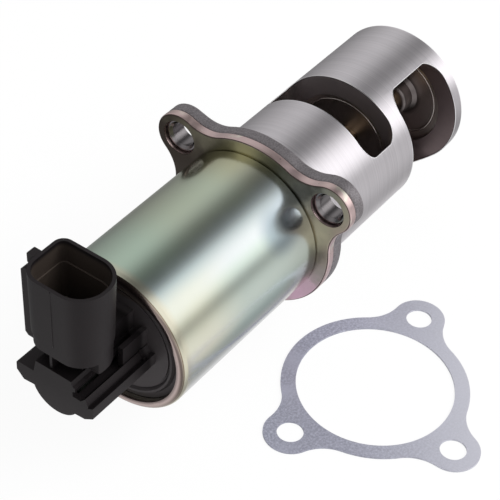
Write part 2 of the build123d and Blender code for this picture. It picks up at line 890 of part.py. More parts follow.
    # Seats of the pins and of the coil terminals, and the sensor bore
    with BuildSketch(Plane.XY.offset(pin_bottom)):
        with Locations(*pin_places):
            Rectangle(pin_thickness, pin_width)
    extrude(amount=socket_floor - pin_bottom, mode=Mode.SUBTRACT)
    with BuildSketch(across_axis(terminal_rear)):
        with Locations(*terminal_places):
            Rectangle(
                terminal_width + 2 * slot_clearance,
                terminal_thickness + 2 * slot_clearance,
            )
    extrude(amount=terminal_seat, mode=Mode.SUBTRACT)
    with BuildSketch(across_axis(sensor_bore_front)):
        Circle(sensor_bore_radius)
    extrude(amount=cap_rear - sensor_bore_front, mode=Mode.SUBTRACT)
end_cap.part.label = "end_cap"
export_step(end_cap.part, "parts/end_cap.step")

# O-ring between the cap and the can
with BuildPart() as cap_seal:
    with BuildSketch(Plane.XY):
        with Locations((seal_groove, can_bore_radius - seal_section_radius)):
            Circle(seal_section_radius)
    revolve(axis=Axis.X)
cap_seal.part.label = "cap_seal"
export_step(cap_seal.part, "parts/cap_seal.step")

# Five blade pins in two rows
with BuildPart() as connector_pins:
    with BuildSketch(Plane.XY.offset(pin_bottom)):
        with Locations(*pin_places):
            Rectangle(pin_thickness, pin_width)
    extrude(amount=pin_top - pin_bottom)
    chamfer(connector_pins.edges().group_by(Axis.Z)[-1], pin_point)
connector_pins.part.label = "connector_pins"
export_step(connector_pins.part, "parts/connector_pins.step")

# Bush that guides the sensor plunger
with BuildPart() as sensor_guide:
    with BuildSketch(across_axis(guide_front)):
        Circle(sensor_bore_radius)
        Circle(plunger_radius + running_clearance, mode=Mode.SUBTRACT)
    extrude(amount=sensor_guide_length)
sensor_guide.part.label = "sensor_guide"
export_step(sensor_guide.part, "parts/sensor_guide.step")

# Plunger that follows the end of the stem
with BuildPart() as sensor_plunger:
    with BuildSketch(Plane.XY):
        with BuildLine():
            Polyline(
                (plunger_rear, 0),
                (plunger_rear, plunger_head_radius),
                (wiper_rear, plunger_head_radius),
                (wiper_rear, plunger_radius),
                (plunger_front - plunger_tip, plunger_radius),
                (plunger_front, plunger_radius - plunger_tip),
                (plunger_front, 0),
                close=True,
            )
        make_face()
    revolve(axis=Axis.X)
sensor_plunger.part.label = "sensor_plunger"
export_step(sensor_plunger.part, "parts/sensor_plunger.step")

# Wiper on the plunger, with its foot just clear of the track
with BuildPart() as sensor_wiper:
    with BuildSketch(across_axis(wiper_rear)):
        Circle(plunger_radius + wiper_wall)
        with Locations((0, -wiper_reach / 2)):
            Rectangle(wiper_width, wiper_reach)
        Circle(plunger_radius, mode=Mode.SUBTRACT)
    extrude(amount=wiper_thickness)
sensor_wiper.part.label = "sensor_wiper"
export_step(sensor_wiper.part, "parts/sensor_wiper.step")

# Resistor track along the bottom of the sensor bore
with BuildPart() as sensor_track:
    with BuildSketch(Plane.XY.offset(track_bottom)):
        with Locations((guide_front - track_length / 2, 0)):
            Rectangle(track_length, track_width)
    extrude(amount=track_thickness)
sensor_track.part.label = "sensor_track"
export_step(sensor_track.part, "parts/sensor_track.step")

# Spring that keeps the plunger against the stem
with BuildPart() as sensor_spring:
    with BuildLine() as sensor_coil:
        Helix(
            (sensor_spring_length - sensor_wire) / sensor_turns,
            sensor_spring_length - sensor_wire,
            sensor_spring_radius,
            center=(sensor_bore_front + sensor_wire / 2, 0, 0),
            direction=(1, 0, 0),
        )
    with BuildSketch(Plane(origin=sensor_coil.line @ 0, z_dir=sensor_coil.line % 0)):
        RegularPolygon(sensor_wire / 2, wire_sides)
    sweep(path=sensor_coil.line)
sensor_spring.part.label = "sensor_spring"
export_step(sensor_spring.part, "parts/sensor_spring.step")

# Gasket for the mounting face, lying flat beside the flange
with BuildPart() as flange_gasket:
    with BuildSketch(Plane.XY.offset(floor_z)):
        with Locations((gasket_x, gasket_y)):
            add(
                flange_outline(
                    plate_waist_radius, bolt_hole_radius, gasket_bore_radius, gasket_turn
                )
            )
    extrude(amount=gasket_thickness)
flange_gasket.part.label = "flange_gasket"
export_step(flange_gasket.part, "parts/flange_gasket.step")
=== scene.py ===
# %% [markdown]
# # A solenoid gas valve, dressed for a studio photograph
# The solids come from the CAD model and stay as they are. This file gives them their
# finishes, adds the fine trim that the CAD leaves out, and sets up the camera, the light
# and the floor. The frame is that of the CAD model: +X runs along the valve's axis towards
# the gas end, +Z is the way the plug leaves its socket, and the origin is in the middle of
# the flange's mounting face. Blender's unit is the metre. Most sizes here are written in
# millimetres, and MM turns them into metres.

from math import cos, pi, radians, sin, tan

import bpy
import numpy as np
from mathutils import Matrix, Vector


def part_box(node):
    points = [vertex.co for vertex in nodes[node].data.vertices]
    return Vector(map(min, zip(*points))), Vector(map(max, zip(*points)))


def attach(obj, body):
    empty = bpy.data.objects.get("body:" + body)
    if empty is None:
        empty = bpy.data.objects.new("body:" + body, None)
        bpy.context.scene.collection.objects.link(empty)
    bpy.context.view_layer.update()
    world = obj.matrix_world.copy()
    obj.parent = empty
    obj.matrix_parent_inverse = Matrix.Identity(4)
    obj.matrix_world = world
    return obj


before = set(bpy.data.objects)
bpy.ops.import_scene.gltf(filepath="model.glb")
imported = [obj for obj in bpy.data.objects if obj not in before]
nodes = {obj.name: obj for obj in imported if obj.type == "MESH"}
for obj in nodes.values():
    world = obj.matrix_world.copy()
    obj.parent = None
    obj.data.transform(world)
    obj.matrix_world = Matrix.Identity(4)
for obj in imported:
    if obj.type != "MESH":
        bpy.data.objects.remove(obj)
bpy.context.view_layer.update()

# %% [markdown]
# ## Sizes read from the model
# Patterns and trim have to sit exactly on the solids. Typing their places in again would
# go wrong as soon as the CAD changes, so they are read from the boxes of the nodes. A size
# that no box shows, such as a wall's thickness, is named where it is first needed.

# %% Sizes from the boxes of the CAD nodes
MM = 0.001


def end_of(name, axis, side):
    """Where a CAD node ends, in millimetres. side is 0 for its low end and 1 for its high end."""
    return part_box(name)[side]["xyz".index(axis)] / MM


can_end, can_front = end_of("magnet_can", "x", 0), end_of("magnet_can", "x", 1)
can_radius = end_of("magnet_can", "y", 1)
plate_back, plate_joint = end_of("mounting_plate", "x", 0), end_of("mounting_plate", "x", 1)
nose_tip, nose_radius = end_of("nose_end", "x", 1), end_of("nose_end", "y", 1)
print("can from", round(can_end, 2), "to", round(can_front, 2), "nose tip", round(nose_tip, 2))

# %% [markdown]
# ## Camera
# The photograph was taken from above the plug end with a long lens, so the valve's axis
# runs away from the camera. Aiming the camera with angles is guesswork. Here its place is
# written as three directions instead: its own right, its own up, and the way back from the
# subject to the lens. They become the columns of its matrix.

# %% Camera at the photograph's angle
camera_right = (0.5934, -0.8034, 0.0484)
camera_up = (0.5269, 0.4332, 0.7313)
camera_back = (-0.6086, -0.4084, 0.6803)
camera_place = (-0.2961, -0.1952, 0.31385)


def placed(right, up, back, place):
    """Matrix of an object that looks along -back from place."""
    columns = np.array([right, up, back]).T
    return Matrix.Translation(place) @ Matrix(columns.tolist()).to_4x4()


camera_data = bpy.data.cameras.new("studio_camera")
camera_data.sensor_width = 36.0
camera_data.lens = 127.08
camera_data.clip_start = 0.01
camera_data.clip_end = 20.0
camera = bpy.data.objects.new("studio_camera", camera_data)
bpy.context.scene.collection.objects.link(camera)
camera.matrix_world = placed(camera_right, camera_up, camera_back, camera_place)
bpy.context.scene.camera = camera
print("camera", [round(value, 4) for value in camera.location])

# %% [markdown]
# ## Small helpers for materials
# A material is a chain of small calculations that ends in one shader. The chains could be
# drawn by hand in the editor, but written down they can be read and changed. The helpers
# keep them short: one starts a material, one adds a node with its settings, and the others
# add a single step of arithmetic or of mixing.

# %% Helper that starts a material


def start_finish(name, metallic, roughness):
    """A new material whose Principled shader has these uniform numbers on its own sockets."""
    material = bpy.data.materials.new(name)
    material.use_nodes = True
    shader = material.node_tree.nodes["Principled BSDF"]
    shader.inputs["Metallic"].default_value = metallic
    shader.inputs["Roughness"].default_value = roughness
    return material, material.node_tree, shader


# %% Helpers that add nodes


def add_node(tree, kind, settings=(), links=()):
    """A node of that kind. A setting that starts with a dot is the node's own property."""
    node = tree.nodes.new(kind)
    for key, value in dict(settings).items():
        if isinstance(key, str) and key.startswith("."):
            setattr(node, key[1:], value)
        else:
            node.inputs[key].default_value = value
    for key, source in dict(links).items():
        tree.links.new(source, node.inputs[key])
    return node


def calc(tree, operation, *terms):
    """One arithmetic step on numbers or sockets, such as calc(tree, "ADD", a, 2.0)."""
    node = tree.nodes.new("ShaderNodeMath")
    node.operation = operation
    for place, term in enumerate(terms):
        if isinstance(term, (int, float)):
            node.inputs[place].default_value = term
        else:
            tree.links.new(term, node.inputs[place])
    return node.outputs[0]


# %% Helpers for masks, which are numbers from 0 to 1


def smooth_step(tree, value, low, high):
    """0 at low and 1 at high, with a smooth climb between. low may be above high."""
    node = add_node(tree, "ShaderNodeMapRange", {".interpolation_type": "SMOOTHSTEP"})
    tree.links.new(value, node.inputs["Value"])
    flip = low > high
    node.inputs["From Min"].default_value = min(low, high)
    node.inputs["From Max"].default_value = max(low, high)
    node.inputs["To Min"].default_value = 1.0 if flip else 0.0
    node.inputs["To Max"].default_value = 0.0 if flip else 1.0
    return node.outputs["Result"]


# %% Helpers that use masks


def both(tree, first, second):
    """A mask where two masks overlap. second may be a number that weakens the first."""
    return calc(tree, "MULTIPLY", first, second)


def near(tree, value, place, reach):
    """A sharp mask: 1 where value is no further than reach from place."""
    return calc(tree, "COMPARE", value, place, reach)


def spread(tree, mask, low, high):
    """A number that is low where the mask is 0 and high where it is 1."""
    return calc(tree, "MULTIPLY_ADD", mask, high - low, low)


def wandering(tree, value, noise, reach):
    """The value, moved by the noise by up to half of reach either way."""
    return calc(tree, "MULTIPLY_ADD", noise, reach, calc(tree, "ADD", value, -reach / 2.0))


# %% Helpers that mix colours


def blend_colour(tree, amount, first, second):
    """first where amount is 0 and second where it is 1. Each is a colour or a socket."""
    node = tree.nodes.new("ShaderNodeMix")
    node.data_type = "RGBA"
    tree.links.new(amount, node.inputs[0])
    for place, term in ((6, first), (7, second)):
        if isinstance(term, tuple):
            node.inputs[place].default_value = (*term, 1.0)
        else:
            tree.links.new(term, node.inputs[place])
    return node.outputs[2]


def ramp_colour(tree, place, stops, interpolation="EASE"):
    """Colour from a ramp of (position, (r, g, b)) stops, read at place from 0 to 1."""
    ramp = add_node(tree, "ShaderNodeValToRGB", links={0: place})
    ramp.color_ramp.interpolation = interpolation
    bands = ramp.color_ramp.elements
    while len(bands) < len(stops):
        bands.new(0.5)
    for band, (position, colour) in zip(bands, stops):
        band.position = position
        band.color = (*colour, 1.0)
    return ramp.outputs[0]


# %% Helpers that tell a place on a piece


def place_parts(tree):
    """The piece's own x, y and z in millimetres, and its distance from the axis."""
    coordinates = tree.nodes.new("ShaderNodeTexCoord").outputs["Object"]
    split = add_node(tree, "ShaderNodeSeparateXYZ", links={0: coordinates})
    x, y, z = (calc(tree, "DIVIDE", socket, MM) for socket in split.outputs)
    squares = calc(tree, "ADD", calc(tree, "POWER", y, 2.0), calc(tree, "POWER", z, 2.0))
    return coordinates, x, y, z, calc(tree, "SQRT", squares)


def round_axis(tree, y, z):
    """Place round the X axis from 0 to 1: 0.5 on top, and it grows towards -Y."""
    from_top = calc(tree, "ARCTAN2", calc(tree, "MULTIPLY", y, -1.0), z)
    return calc(tree, "MULTIPLY_ADD", from_top, 1.0 / (2.0 * pi), 0.5)


def turned_stops(*stops):
    """Stops given in degrees from the top towards -Y, as places for round_axis."""
    return [(degrees / 360.0 + 0.5, colour) for degrees, colour in stops]


# %% Helpers for texture


def mottle(tree, coordinates, scale, detail=3.0, stretch=(1.0, 1.0, 1.0), roughness=0.55):
    """Noise from 0 to 1 on stretched Object coordinates. scale is in waves per metre."""
    mapping = add_node(tree, "ShaderNodeMapping", {"Scale": stretch}, {0: coordinates})
    settings = {"Scale": scale, "Detail": detail, "Roughness": roughness}
    noise = add_node(tree, "ShaderNodeTexNoise", settings, {"Vector": mapping.outputs[0]})
    return noise.outputs["Fac"]


def add_bump(tree, shader, height, depth, strength=0.5):
    """Tilts the surface by a height field from 0 to 1 that is depth metres high."""
    settings = {"Strength": strength, "Distance": depth}
    bump = add_node(tree, "ShaderNodeBump", settings, {"Height": height})
    tree.links.new(bump.outputs[0], shader.inputs["Normal"])


def dress(material, *names):
    """Gives CAD nodes this material in all their slots."""
    for name in names:
        slots = nodes[name].data.materials
        slots.clear()
        slots.append(material)
    print(material.name, "->", ", ".join(names))


# %% [markdown]
# ## Yellow zinc plating on the can
# The can is drawn steel with a yellow chromate over bright zinc. The chromate film is
# thinner than a wavelength of light in places, so its tint wanders between mint, straw
# and rose. A picture of real plating could be wrapped round it, but would show its seam and
# its pixels. Three colour ramps do it instead. They give the tint round the axis for the
# end at the flange, for the middle and for the end at the cap, and slow noise moves their
# borders about, because the film dries unevenly. Their lighter and darker steps round the
# axis are also painted reflection: bands of the soft boxes, and a dimmed highlight near the
# flange, are painted into the colour as well as the film's tints.

# %% Tints and painted reflection bands of the can, in degrees from the top
can_middle_tints_and_bands = turned_stops(
    (-60, (0.62, 0.66, 0.52)), (-10, (0.62, 0.70, 0.55)), (12, (0.62, 0.70, 0.57)),
    (24, (0.60, 0.68, 0.68)), (40, (0.72, 0.76, 0.76)), (52, (0.63, 0.72, 0.65)),
    (75, (0.64, 0.72, 0.66)), (92, (0.60, 0.72, 0.69)), (105, (0.70, 0.73, 0.73)),
    (150, (0.70, 0.71, 0.70)))
can_cap_end_tints_and_bands = turned_stops(
    (-60, (0.58, 0.70, 0.58)), (10, (0.60, 0.75, 0.62)), (24, (0.58, 0.68, 0.68)),
    (40, (0.76, 0.78, 0.69)), (54, (0.76, 0.77, 0.62)), (80, (0.82, 0.81, 0.68)),
    (93, (0.76, 0.80, 0.71)), (105, (0.70, 0.71, 0.71)), (150, (0.70, 0.69, 0.69)))
can_flange_end_tints_and_bands = turned_stops(
    (-60, (0.56, 0.56, 0.38)), (-8, (0.60, 0.60, 0.41)), (10, (0.56, 0.58, 0.46)),
    (22, (0.54, 0.60, 0.60)), (40, (0.58, 0.66, 0.72)), (60, (0.58, 0.62, 0.58)),
    (80, (0.58, 0.64, 0.57)), (96, (0.62, 0.62, 0.56)), (110, (0.66, 0.58, 0.56)),
    (125, (0.62, 0.62, 0.60)))
print("can ramps", len(can_middle_tints_and_bands), len(can_cap_end_tints_and_bands), len(can_flange_end_tints_and_bands))

# %% [markdown]
# The film is thickest where it stood in pools: round the pressed dimple it turns blue, and
# along the rolled rim cream, then rose and brown. Each such border is a step, written as
# the place where it starts and the place where it is full.

# %% Pools of the film on the can, in millimetres
flange_end_step = (can_front - 17.7, can_front - 2.7)
cap_end_step = (can_end + 28.5, can_end + 8.5)
cream, cream_step, cream_cover = (0.74, 0.70, 0.55), (can_end + 4.2, can_end + 1.4), 0.8
rim_rose, rim_step = (0.56, 0.45, 0.43), (can_end + 0.8, can_end + 0.3)
rim_brown, brown_step = (0.28, 0.22, 0.19), (can_radius - 2.0, can_radius - 0.5)
fold_brown, fold_place, fold_reach = (0.30, 0.23, 0.17), can_end + 0.64, 0.09
dimple_blue, dimple_step, dimple_cover = (0.33, 0.41, 0.46), (8.5, 2.5), 0.75
dimple_angle = radians(50.0)
dimple_place = MM * np.array([can_front - 11.2, -can_radius * sin(dimple_angle),
                              can_radius * cos(dimple_angle)])
print("dimple at", (dimple_place / MM).round(1).tolist())

# %% Film and painted reflection bands on the magnet can
cloud_stretch, cloud_waves, film_wander, border_wander = (0.5, 1.0, 1.0), 26.0, 0.06, 12.0

can_finish, tree, shader = start_finish("plated_can", 1.0, 0.24)
coordinates, x, y, z, distance = place_parts(tree)
cloud = mottle(tree, coordinates, cloud_waves, stretch=cloud_stretch)
film_and_band_place = wandering(tree, round_axis(tree, y, z), cloud, film_wander)
# The ramps paint reflection bands round the axis as well as the film's tints.
middle, cap_end, flange_end = (
    ramp_colour(tree, film_and_band_place, tints)
    for tints in (can_middle_tints_and_bands, can_cap_end_tints_and_bands, can_flange_end_tints_and_bands))
along = wandering(tree, x, cloud, border_wander)
tint = blend_colour(tree, smooth_step(tree, along, *flange_end_step), middle, flange_end)
tint = blend_colour(tree, smooth_step(tree, along, *cap_end_step), tint, cap_end)
print(can_finish.name, "has", len(tree.nodes), "nodes so far")

# %% Pools and gloss of the magnet can
can_shine, drawn_stretch, drawn_depth = (0.15, 0.25), (2600.0, 40.0, 40.0), 0.000004

to_dimple = add_node(tree, "ShaderNodeVectorMath", {".operation": "DISTANCE", 1: dimple_place},
                     {0: coordinates})
from_dimple = calc(tree, "DIVIDE", to_dimple.outputs["Value"], MM)
in_dimple = both(tree, smooth_step(tree, from_dimple, *dimple_step), dimple_cover)
tint = blend_colour(tree, in_dimple, tint, dimple_blue)
at_cream = both(tree, smooth_step(tree, x, *cream_step), cream_cover)
tint = blend_colour(tree, at_cream, tint, cream)
rim_tone = blend_colour(tree, smooth_step(tree, distance, *brown_step), rim_rose, rim_brown)
tint = blend_colour(tree, smooth_step(tree, x, *rim_step), tint, rim_tone)
tint = blend_colour(tree, near(tree, x, fold_place, fold_reach), tint, fold_brown)
tree.links.new(tint, shader.inputs["Base Color"])
polish = spread(tree, mottle(tree, coordinates, 120.0, 4.0), *can_shine)
tree.links.new(polish, shader.inputs["Roughness"])
drawing_rings = mottle(tree, coordinates, 1.0, 2.0, drawn_stretch)
add_bump(tree, shader, drawing_rings, drawn_depth, 0.35)
dress(can_finish, "magnet_can")

# %% [markdown]
# ## The same plating on the plate
# The plate under the can was dipped flat, so its film is thick: brown on the far lobe,
# olive above the can, straw on the near lobe, and rose to violet where it ran down and
# dripped. One more ramp round the axis gives the run of tints, and noise bends it.

# %% Face of the mounting plate
plate_tints = turned_stops(
    (-110, (0.08, 0.067, 0.058)), (-57, (0.055, 0.044, 0.036)), (-32, (0.20, 0.185, 0.135)),
    (-8, (0.64, 0.60, 0.45)), (15, (0.29, 0.28, 0.215)), (27, (0.15, 0.14, 0.11)),
    (38, (0.10, 0.092, 0.075)), (52, (0.46, 0.41, 0.33)), (66, (0.62, 0.54, 0.43)),
    (82, (0.33, 0.295, 0.25)), (98, (0.35, 0.315, 0.30)), (112, (0.60, 0.43, 0.51)),
    (135, (0.68, 0.46, 0.58)), (165, (0.50, 0.40, 0.40)))
lobe_rose, lobe_rim_step, near_side_step = (0.48, 0.36, 0.33), (27.5, 31.0), (0.62, 0.72)

plate_finish, tree, shader = start_finish("plated_plate", 1.0, 0.3)
coordinates, x, y, z, distance = place_parts(tree)
pool = mottle(tree, coordinates, 70.0, 4.0)
wander = wandering(tree, round_axis(tree, y, z), pool, 0.16)
pooled = ramp_colour(tree, wander, plate_tints)
from_rim = calc(tree, "MULTIPLY_ADD", pool, 6.0, distance)
on_near_rim = both(tree, smooth_step(tree, from_rim, *lobe_rim_step),
                   smooth_step(tree, wander, *near_side_step))
pooled = blend_colour(tree, on_near_rim, pooled, lobe_rose)
print(plate_finish.name, "ramp has", len(plate_tints), "stops")

# %% [markdown]
# The plate's cut edge is rose, with patches that were rubbed bright. The thin dark lines
# along its corners could be modelled as grooves, but at a tenth of a millimetre a line of
# colour does as well: the line on the back corner is painted shade, and the one at the
# joint is the dark seam.

# %% Edge of the mounting plate
edge_step = (plate_back + 0.04, plate_back + 0.1)
corner_place, corner_reach = plate_back + 0.1, 0.07
joint_step = (plate_joint - 0.18, plate_joint - 0.1)
shade_and_seam_brown, rubbed_bright = (0.12, 0.09, 0.085), (0.92, 0.87, 0.76)
edge_rose, edge_peach, plate_shine = (0.76, 0.57, 0.62), (0.76, 0.60, 0.52), (0.2, 0.45)

edge_tone = blend_colour(tree, pool, edge_rose, edge_peach)
worn = smooth_step(tree, mottle(tree, coordinates, 160.0, 4.0), 0.56, 0.70)
edge_tone = blend_colour(tree, worn, edge_tone, rubbed_bright)
tint = blend_colour(tree, smooth_step(tree, x, *edge_step), pooled, edge_tone)
# Painted shade along the back corner, and the dark seam at the joint.
shade_and_seam_lines = calc(tree, "MAXIMUM", near(tree, x, corner_place, corner_reach),
                  smooth_step(tree, x, *joint_step))
tint = blend_colour(tree, shade_and_seam_lines, tint, shade_and_seam_brown)
tree.links.new(tint, shader.inputs["Base Color"])
grain = mottle(tree, coordinates, 900.0)
tree.links.new(spread(tree, grain, *plate_shine), shader.inputs["Roughness"])
add_bump(tree, shader, grain, 0.00003, 0.4)
dress(plate_finish, "mounting_plate")

# %% [markdown]
# ## Gas housing
# One casting shows three finishes. The nose is turned, which leaves fine rings that catch
# the light across them. The flange keeps its dark cast skin on the edge. The windows and
# the bore are milled and then browned by heat. Three materials on one solid would need its
# faces sorted, so one material does all three, and the distance from the axis and the place
# along it tell them apart. The rings are noise that is squeezed along X and drawn out
# across it. The low side of the nose towards its tip is painted darker, which is painted shade.

# %% Turned steel of the nose
low_shade_along, low_shade_down, low_shade_cover = (nose_tip - 24.0, nose_tip - 5.0), (11.0, -7.0), 0.34
fine_stretch, broad_stretch = (2300.0, 7.0, 7.0), (330.0, 5.0, 5.0)
broad_greys, fine_grey, green_share, blue_share = (0.53, 0.65), 0.34, 0.955, 0.995

housing_finish, tree, shader = start_finish("turned_housing", 1.0, 0.3)
coordinates, x, y, z, distance = place_parts(tree)
tool_lines = mottle(tree, coordinates, 1.0, 3.0, fine_stretch, 0.7)
broad_lines = mottle(tree, coordinates, 1.0, 2.0, broad_stretch)
broad_tone = spread(tree, broad_lines, *broad_greys)
line_tone = calc(tree, "MULTIPLY_ADD", tool_lines, fine_grey, broad_tone)
# Painted shade: the low side of the nose towards its tip is darkened.
low_side_shade = both(tree, smooth_step(tree, x, *low_shade_along), smooth_step(tree, z, *low_shade_down))
line_tone = calc(tree, "MULTIPLY", line_tone, spread(tree, low_side_shade, 1.0, 1.0 - low_shade_cover))
steel = add_node(tree, "ShaderNodeCombineColor", links={0: line_tone})
tree.links.new(calc(tree, "MULTIPLY", line_tone, green_share), steel.inputs[1])
tree.links.new(calc(tree, "MULTIPLY", line_tone, blue_share), steel.inputs[2])
print(housing_finish.name, "has", len(tree.nodes), "nodes so far")

# %% [markdown]
# Inside, the bore is brown from heat, and sooty in the second window, which starts flush
# with the inner seat ring. The cast skin is a fine noise of two greys.

# %% Cast skin and browned bore of the housing
second_window_start = end_of("inner_seat_ring", "x", 1)
bore_step = (nose_radius - 0.1, nose_radius - 0.2)
end_face_step = (nose_tip - 0.03, nose_tip - 0.07)
soot_step = (second_window_start + 4.0, second_window_start + 14.0)
flange_step = (0.02, -0.02)
cast_dark, cast_light = (0.26, 0.24, 0.25), (0.46, 0.43, 0.45)
brown_dark, brown_light = (0.35, 0.308, 0.312), (0.49, 0.436, 0.44)
soot_dark, soot_light = (0.20, 0.156, 0.158), (0.28, 0.222, 0.224)

skin = mottle(tree, coordinates, 2600.0, 5.0)
cast_tone = blend_colour(tree, smooth_step(tree, skin, 0.3, 0.75), cast_dark, cast_light)
heat = mottle(tree, coordinates, 90.0)
browned = blend_colour(tree, heat, brown_dark, brown_light)
sooted = blend_colour(tree, heat, soot_dark, soot_light)
bore_tone = blend_colour(tree, smooth_step(tree, x, *soot_step), browned, sooted)
inside = both(tree, smooth_step(tree, distance, *bore_step),
              smooth_step(tree, x, *end_face_step))
on_flange = smooth_step(tree, x, *flange_step)
tint = blend_colour(tree, inside, steel.outputs[0], bore_tone)
tint = blend_colour(tree, on_flange, tint, cast_tone)
tree.links.new(tint, shader.inputs["Base Color"])
print("second window starts at", round(second_window_start, 2))

# %% Gloss and relief of the housing
rough = spread(tree, tool_lines, 0.27, 0.39)
rough = calc(tree, "MULTIPLY_ADD", inside, 0.18, rough)
rough = calc(tree, "MULTIPLY_ADD", on_flange, 0.25, rough)
tree.links.new(rough, shader.inputs["Roughness"])
relief = calc(tree, "MULTIPLY_ADD", both(tree, skin, on_flange), 6.0, tool_lines)
add_bump(tree, shader, relief, 0.00001)
dress(housing_finish, "valve_housing", "nose_end")

# %% [markdown]
# ## Seats, stem and the parts of the magnet
# The seat rings and the stem are harder steels. Hot gas has tinted them brown and bronze,
# and their turned faces still show rings. The metals differ only in their two tints and
# their gloss, so one function makes them all. Its rings are a sine of the place along the
# axis plus the distance from it, so that they show on cylinders and on flat faces.

# %% One function for all turned metals
ring_waves = 30.0


def heat_tinted(name, cool, hot, roughness):
    """Turned metal that wanders between a cool and a hot tint, with rings round the axis."""
    material, tree, shader = start_finish(name, 1.0, roughness)
    coordinates, x, y, z, distance = place_parts(tree)
    heat = mottle(tree, coordinates, 130.0, 4.0)
    tree.links.new(blend_colour(tree, heat, cool, hot), shader.inputs["Base Color"])
    outward = calc(tree, "ADD", distance, x)
    rings = calc(tree, "SINE", calc(tree, "MULTIPLY", outward, ring_waves))
    add_bump(tree, shader, rings, 0.000004)
    return material


print("a ring every", round(2.0 * pi / ring_waves, 2), "mm")

# %% Pieces of turned metal
turned_metals = (
    ("tinted_seat_steel", (0.50, 0.45, 0.42), (0.66, 0.60, 0.56), 0.32,
     ("inner_seat_ring", "outer_seat_ring")),
    ("bronzed_stem_steel", (0.36, 0.27, 0.18), (0.52, 0.39, 0.25), 0.33, ("valve_stem",)),
    ("sintered_bronze", (0.30, 0.20, 0.11), (0.42, 0.29, 0.15), 0.45, ("stem_guide_bush",)),
    ("soft_iron", (0.30, 0.30, 0.31), (0.38, 0.37, 0.37), 0.38,
     ("pole_core", "flux_plate", "armature")),
    ("ground_stainless", (0.52, 0.52, 0.52), (0.60, 0.59, 0.57), 0.25,
     ("armature_sleeve", "armature_clip")),
    ("spring_wire", (0.42, 0.41, 0.40), (0.52, 0.50, 0.47), 0.3,
     ("return_spring", "sensor_spring")),
    ("oiled_bush_steel", (0.15, 0.14, 0.14), (0.32, 0.30, 0.31), 0.2, ("bolt_bushes",)),
    ("tinned_brass", (0.50, 0.47, 0.38), (0.60, 0.57, 0.50), 0.28,
     ("connector_pins", "coil_terminals", "sensor_wiper")),
)
for name, cool, hot, roughness, dressed in turned_metals:
    dress(heat_tinted(name, cool, hot, roughness), *dressed)

# %% [markdown]
# ## Poppet discs
# Soot from the gas settles where the flow is slow, which is round the hub on the back of
# the outer disc. The dark round the hub is partly soot and partly painted shade, which dims
# the hub's bright rings. It could be painted into an image, but the hub is round, so the
# distance from the axis draws it.

# %% Finish of the poppet discs
outer_seat_front, disc_depth = end_of("outer_seat_ring", "x", 0), 1.1
disc_back = outer_seat_front + disc_depth
hub_along, hub_front = (disc_back - 8.7, disc_back - 6.7), (disc_back + 0.6, disc_back + 0.1)
hub_step, hub_soot_and_shade = (8.0, 6.0), (0.20, 0.175, 0.17)
face_dark, face_light = (0.46, 0.41, 0.39), (0.62, 0.56, 0.54)

disc_finish, tree, shader = start_finish("sooted_disc_steel", 1.0, 0.38)
coordinates, x, y, z, distance = place_parts(tree)
heat = mottle(tree, coordinates, 130.0, 4.0)
face_tone = blend_colour(tree, heat, face_dark, face_light)
behind_disc = both(tree, smooth_step(tree, x, *hub_along), smooth_step(tree, x, *hub_front))
by_hub = both(tree, smooth_step(tree, distance, *hub_step), behind_disc)
tint = blend_colour(tree, by_hub, face_tone, hub_soot_and_shade)
tree.links.new(tint, shader.inputs["Base Color"])
dress(disc_finish, "inner_valve_disc", "outer_valve_disc")

# %% [markdown]
# ## Black moulding
# The cap is glass-filled nylon: a very dark grey with a faint warm cast, matt, with a fine
# spark-eroded texture. Pure black would look like a hole, because nothing real is that
# dark. The round disc and the sensor housing low down are painted a shade greyer: painted
# sheen on the disc, and painted light from the floor low down.

# %% Tones of the end cap
rim_depth = 2.1
cap_face = can_end + rim_depth
disc_sheen_step = (cap_face - 3.1, cap_face - 1.6)
floor_light_step, floor_light_cover = (4.0, -14.0), 0.38
patch_waves, erosion_waves, erosion_depth = 140.0, 2600.0, 0.00002
black_dark, black_light = (0.0045, 0.0037, 0.0040), (0.0080, 0.0066, 0.0072)
lit_black_dark, lit_black_light = (0.038, 0.0335, 0.0350), (0.054, 0.0480, 0.0495)

cap_finish, tree, shader = start_finish("black_moulding", 0.0, 0.5)
shader.inputs["Specular IOR Level"].default_value = 0.34
shader.inputs["Specular Tint"].default_value = (1.0, 0.89, 0.93, 1.0)
coordinates, x, y, z, distance = place_parts(tree)
patches = mottle(tree, coordinates, patch_waves, 4.0)
black = blend_colour(tree, patches, black_dark, black_light)
lit_black = blend_colour(tree, patches, lit_black_dark, lit_black_light)
# Painted light: lighter low down, where the floor throws light up, and a painted sheen on the
# disc.
floor_bounce_light = both(tree, smooth_step(tree, z, *floor_light_step), floor_light_cover)
painted_light_share = calc(tree, "MAXIMUM", floor_bounce_light, smooth_step(tree, x, *disc_sheen_step))
tint = blend_colour(tree, painted_light_share, black, lit_black)
print(cap_finish.name, "has", len(tree.nodes), "nodes so far")

# %% [markdown]
# The inside of the socket is coloured a lighter brown than the outside. It is told from the
# outside by the way the surface faces: its normal points at the socket's middle line.

# %% Sizes of the plug socket
socket_mouth = end_of("end_cap", "z", 1)
socket_half = 8.1
socket_x = end_of("end_cap", "x", 0) + socket_half
socket_y = -0.6
socket_floor, socket_ledge = 14.6, 28.0
print("socket middle", round(socket_x, 2), socket_y, "mouth at", round(socket_mouth, 2))

# %% Inside of the plug socket
inward_step = (-1.0, -2.0)
floor_step = (socket_floor - 0.2, socket_floor)
mouth_step = (socket_mouth - 0.4, socket_mouth - 1.8)
upward_step, ledge_reach = (0.4, 0.6), 0.2
socket_inside_brown, lit_ledge_brown = (0.036, 0.028, 0.023), (0.060, 0.048, 0.040)

